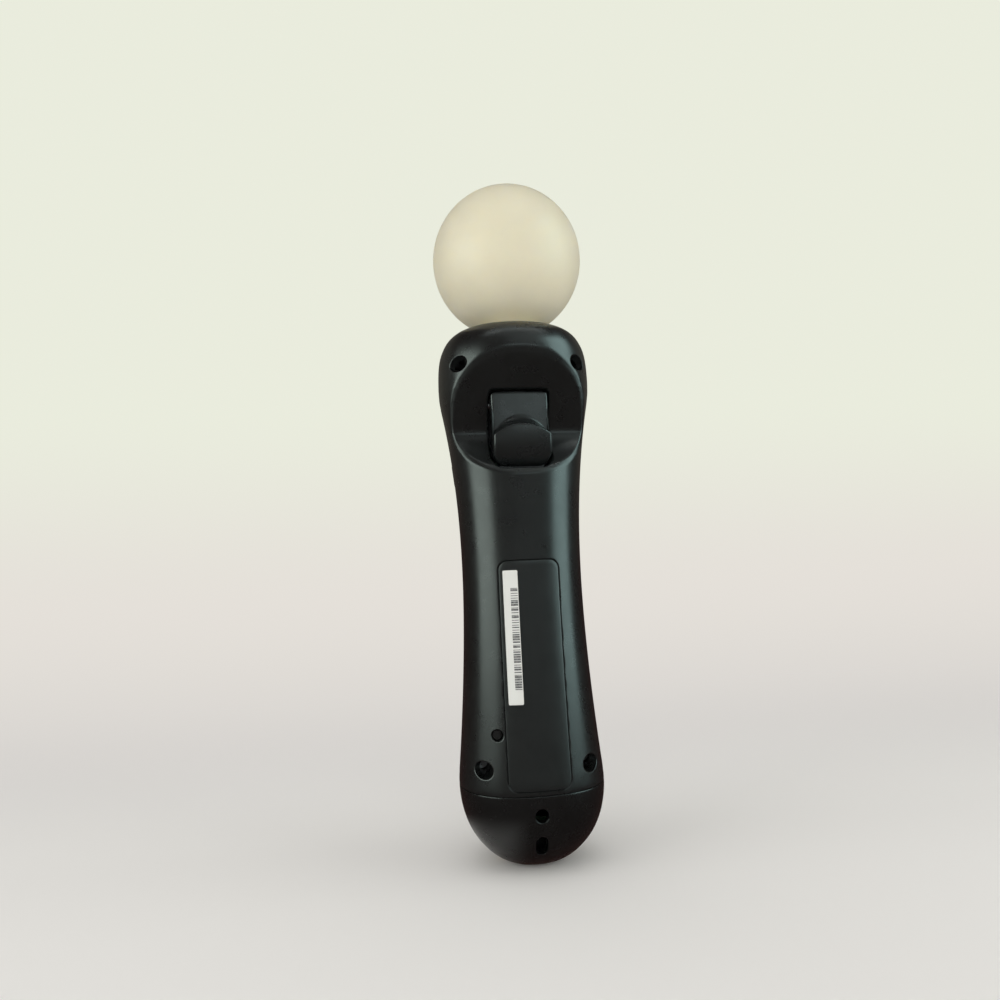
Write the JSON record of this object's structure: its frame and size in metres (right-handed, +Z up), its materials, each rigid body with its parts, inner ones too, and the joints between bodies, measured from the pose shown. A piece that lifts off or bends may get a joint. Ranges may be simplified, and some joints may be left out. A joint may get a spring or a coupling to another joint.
{
  "type": "motion controller wand",
  "caption": "Hand-held motion controller wand: a soft light ball on a waisted black grip, with a finger-groove trigger behind and press buttons in front.",
  "frame": {"origin": "centre of the flat foot at the lower end", "axes": "+Z up along the wand to the ball, +Y to the trigger side (the back), +X to the side of the reset hole"},
  "size_m": [0.046, 0.046, 0.2],
  "materials": {
    "ball_skin": "soft translucent warm white",
    "white_plastic": "matte",
    "board_green": "satin",
    "steel": "brushed",
    "ribbon_amber": "gloss",
    "case_black": "satin, fine grain",
    "cap_black": "satin, fine grain",
    "label_black": "smooth satin",
    "sticker_white": "matte",
    "trigger_black": "satin",
    "pad_rubber": "matte",
    "button_black": "gloss",
    "lens_clear": "clear",
    "frame_grey": "matte",
    "chip_black": "matte",
    "battery_wrap": "shrink film",
    "lead_red": "satin",
    "boot_rubber": "matte",
    "weight_metal": "sintered",
    "contact_gold": "polished"
  },
  "bodies": {
    "case": {"light_ball": "ball_skin", "light_base": "white_plastic", "led_board": "board_green", "rgb_led": "white_plastic", "led_screws": "steel", "led_ribbon": "ribbon_amber", "front_shell": "case_black", "back_shell": "case_black", "bottom_cap": "cap_black", "case_screws": "steel", "label_plate": "label_black", "bar_sticker": "sticker_white", "trigger_pin": "steel", "trigger_spring": "steel", "trigger_pad": "pad_rubber", "trigger_board": "board_green", "button_membrane": "pad_rubber", "side_pads": "pad_rubber", "status_lens": "lens_clear", "inner_frame": "frame_grey", "main_board": "board_green", "board_chips": "chip_black", "shield_can": "steel", "board_screws": "steel", "battery": "battery_wrap", "battery_lead": "lead_red", "battery_plug": "white_plastic", "motor_can": "steel", "motor_boot": "boot_rubber", "reset_switch": "chip_black", "usb_port": "steel", "extension_port": "chip_black", "charge_contacts": "contact_gold", "port_board": "board_green"},
    "trigger": {"trigger": "trigger_black"},
    "main_button": {"main_button": "button_black"},
    "home_button": {"home_button": "button_black"},
    "start_button": {"start_button": "button_black"},
    "select_button": {"select_button": "button_black"},
    "reset_pin": {"reset_pin": "button_black"},
    "motor_rotor": {"motor_shaft": "steel", "motor_weight": "weight_metal"},
    "action_button_1": {"action_button_1": "button_black"},
    "action_button_2": {"action_button_2": "button_black"},
    "action_button_3": {"action_button_3": "button_black"},
    "action_button_4": {"action_button_4": "button_black"}
  },
  "joints": [
    {"name": "trigger_pull", "type": "hinge", "parent": "case", "child": "trigger", "pos_m": [0, 0.00901, 0.1285], "axis": [-1, 0, 0], "range_deg": [0, 13], "stiffness_Nm_per_rad": 0.1, "springref_deg": -8.59, "deforming": ["trigger_spring", "trigger_pad"]},
    {"name": "main_press", "type": "slide", "parent": "case", "child": "main_button", "axis": [0, 1, 0], "range_m": [0, 0.001], "stiffness_N_per_m": 1000, "springref_m": -0.0005, "deforming": ["button_membrane"]},
    {"name": "home_press", "type": "slide", "parent": "case", "child": "home_button", "axis": [0, 1, 0], "range_m": [0, 0.0008], "stiffness_N_per_m": 1000, "springref_m": -0.0005, "deforming": ["button_membrane"]},
    {"name": "action_press_1", "type": "slide", "parent": "case", "child": "action_button_1", "axis": [-0.4384, 0.8988, 0], "range_m": [0, 0.0009], "stiffness_N_per_m": 1000, "springref_m": -0.0005, "deforming": ["button_membrane"]},
    {"name": "action_press_2", "type": "slide", "parent": "case", "child": "action_button_2", "axis": [-0.4384, 0.8988, 0], "range_m": [0, 0.0009], "stiffness_N_per_m": 1000, "springref_m": -0.0005, "deforming": ["button_membrane"]},
    {"name": "action_press_3", "type": "slide", "parent": "case", "child": "action_button_3", "axis": [0.4384, 0.8988, 0], "range_m": [0, 0.0009], "stiffness_N_per_m": 1000, "springref_m": -0.0005, "deforming": ["button_membrane"]},
    {"name": "action_press_4", "type": "slide", "parent": "case", "child": "action_button_4", "axis": [0.4384, 0.8988, 0], "range_m": [0, 0.0009], "stiffness_N_per_m": 1000, "springref_m": -0.0005, "deforming": ["button_membrane"]},
    {"name": "start_press", "type": "slide", "parent": "case", "child": "start_button", "axis": [-1, 0, 0], "range_m": [0, 0.0006], "stiffness_N_per_m": 1000, "springref_m": -0.0005, "deforming": ["side_pads"]},
    {"name": "select_press", "type": "slide", "parent": "case", "child": "select_button", "axis": [1, 0, 0], "range_m": [0, 0.0006], "stiffness_N_per_m": 1000, "springref_m": -0.0005, "deforming": ["side_pads"]},
    {"name": "reset_press", "type": "slide", "parent": "case", "child": "reset_pin", "axis": [0, -1, 0], "range_m": [0, 0.00035], "stiffness_N_per_m": 1500, "springref_m": -0.0005},
    {"name": "motor_spin", "type": "hinge", "parent": "case", "child": "motor_rotor", "pos_m": [0, 0.00238, 0.0375], "axis": [1, 0, 0], "continuous": true}
  ]
}
